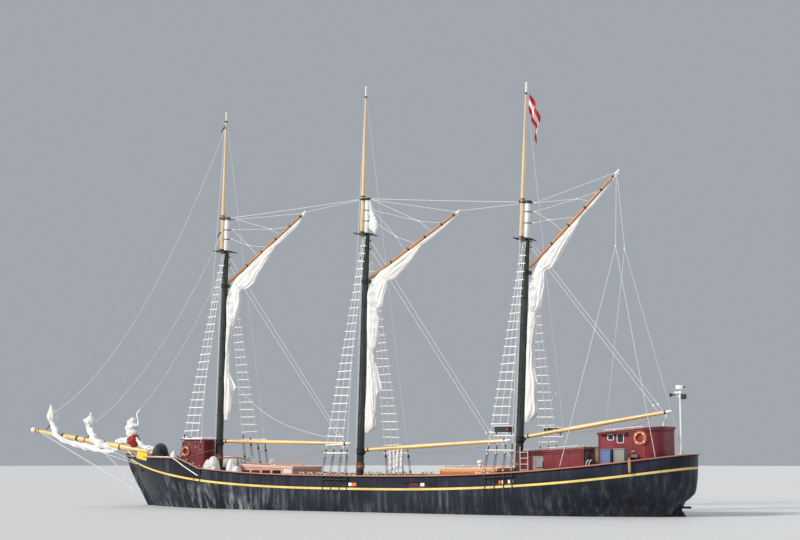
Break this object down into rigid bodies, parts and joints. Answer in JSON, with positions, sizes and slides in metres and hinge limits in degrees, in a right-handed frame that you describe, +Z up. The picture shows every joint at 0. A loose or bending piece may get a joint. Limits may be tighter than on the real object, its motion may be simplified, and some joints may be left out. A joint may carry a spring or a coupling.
{
  "type": "three-masted gaff schooner, scale model at 1:2",
  "caption": "Sailing ship with a black steel hull, gaff-rigged masts, furled sails, bowsprit and red deckhouses, as a half-size model.",
  "frame": {"origin": "on the waterline, on the centre plane, amidships", "axes": "+X points forward along the keel, +Y to port, +Z up"},
  "size_m": [24.2639, 3.876, 14.6966],
  "materials": {
    "hull_paint": "satin, streaked",
    "deck_wood": "weathered planking",
    "rail_wood": "varnished",
    "mast_paint": "satin",
    "topmast_wood": "varnished",
    "boom_wood": "painted buff",
    "gaff_wood": "varnished",
    "ironwork": "satin",
    "wire": "galvanised",
    "sailcloth": "woven",
    "house_paint": "satin",
    "cabin_wood": "varnished",
    "white_paint": "gloss",
    "grey_paint": "satin",
    "bronze": "dull"
  },
  "bodies": {
    "root": {"hull": "hull_paint", "bulwark": "hull_paint", "deck": "deck_wood", "cap_rail": "rail_wood", "bowsprit": "topmast_wood", "bowsprit_bitt": "rail_wood", "mast_fore": "mast_paint", "topmast_fore": "topmast_wood", "crosstrees_fore": "ironwork", "shrouds_fore_port": "wire", "shrouds_fore_starboard": "wire", "mast_main": "mast_paint", "topmast_main": "topmast_wood", "crosstrees_main": "ironwork", "shrouds_main_port": "wire", "shrouds_main_starboard": "wire", "mast_mizzen": "mast_paint", "topmast_mizzen": "topmast_wood", "crosstrees_mizzen": "ironwork", "shrouds_mizzen_port": "wire", "shrouds_mizzen_starboard": "wire", "forestay": "wire", "jib_stay": "wire", "flying_jib_stay": "wire", "bobstay_outer": "wire", "bobstay_inner": "wire", "triatic_stay_fore": "wire", "triatic_stay_after": "wire", "jib_outer": "sailcloth", "jib_middle": "sailcloth", "jib_inner": "sailcloth", "trunk_cabin_fore": "cabin_wood", "trunk_cabin_fore_roof": "white_paint", "trunk_cabin_main": "cabin_wood", "trunk_cabin_main_roof": "cabin_wood", "deckhouse_walls": "house_paint", "deckhouse_roof": "house_paint", "wheelhouse_walls": "house_paint", "wheelhouse_roof": "house_paint", "fore_house": "house_paint", "windlass": "ironwork", "stern_pole": "white_paint"},
    "fore_boom": {"boom_fore": "boom_wood"},
    "main_boom": {"boom_main": "boom_wood"},
    "mizzen_boom": {"boom_mizzen": "boom_wood"},
    "fore_gaff": {"gaff_fore": "gaff_wood", "sail_fore": "sailcloth"},
    "main_gaff": {"gaff_main": "gaff_wood", "sail_main": "sailcloth"},
    "mizzen_gaff": {"gaff_mizzen": "gaff_wood", "sail_mizzen": "sailcloth"},
    "rudder": {"rudder": "hull_paint"},
    "propeller": {"propeller": "bronze"},
    "deckhouse_door": {"deckhouse_door": "grey_paint"},
    "wheelhouse_door": {"wheelhouse_door": "house_paint"}
  },
  "joints": [
    {"name": "fore_boom_swing", "type": "hinge", "parent": "root", "child": "fore_boom", "pos_m": [4.4368, 0, 2.1053], "axis": [-0.0262, 0, 0.9997], "range_deg": [-60, 60]},
    {"name": "main_boom_swing", "type": "hinge", "parent": "root", "child": "main_boom", "pos_m": [-0.9526, 0, 1.8061], "axis": [-0.0308, 0, 0.9995], "range_deg": [-60, 60]},
    {"name": "mizzen_boom_swing", "type": "hinge", "parent": "root", "child": "mizzen_boom", "pos_m": [-6.3904, 0, 2.1596], "axis": [-0.0474, 0, 0.9989], "range_deg": [-60, 60]},
    {"name": "fore_gaff_swing", "type": "hinge", "parent": "root", "child": "fore_gaff", "pos_m": [4.3044, 0, 7.1575], "axis": [-0.0262, 0, 0.9997], "range_deg": [-50, 50]},
    {"name": "main_gaff_swing", "type": "hinge", "parent": "root", "child": "main_gaff", "pos_m": [-1.1127, 0, 7.0017], "axis": [-0.0308, 0, 0.9995], "range_deg": [-50, 50]},
    {"name": "mizzen_gaff_swing", "type": "hinge", "parent": "root", "child": "mizzen_gaff", "pos_m": [-6.6181, 0, 6.9582], "axis": [-0.0474, 0, 0.9989], "range_deg": [-50, 50]},
    {"name": "rudder_turn", "type": "hinge", "parent": "root", "child": "rudder", "pos_m": [-11.24, 0, -0.6], "axis": [0, 0, 1], "range_deg": [-35, 35]},
    {"name": "propeller_spin", "type": "hinge", "parent": "root", "child": "propeller", "pos_m": [-10.6, 0, -0.8], "axis": [1, 0, 0], "continuous": true},
    {"name": "deckhouse_door_swing", "type": "hinge", "parent": "root", "child": "deckhouse_door", "pos_m": [-7.18, 0.82, 1.3], "axis": [0, 0, -1], "range_deg": [0, 100]},
    {"name": "wheelhouse_door_swing", "type": "hinge", "parent": "root", "child": "wheelhouse_door", "pos_m": [-9.175, 0.62, 1.6], "axis": [0, 0, 1], "range_deg": [0, 90]}
  ]
}
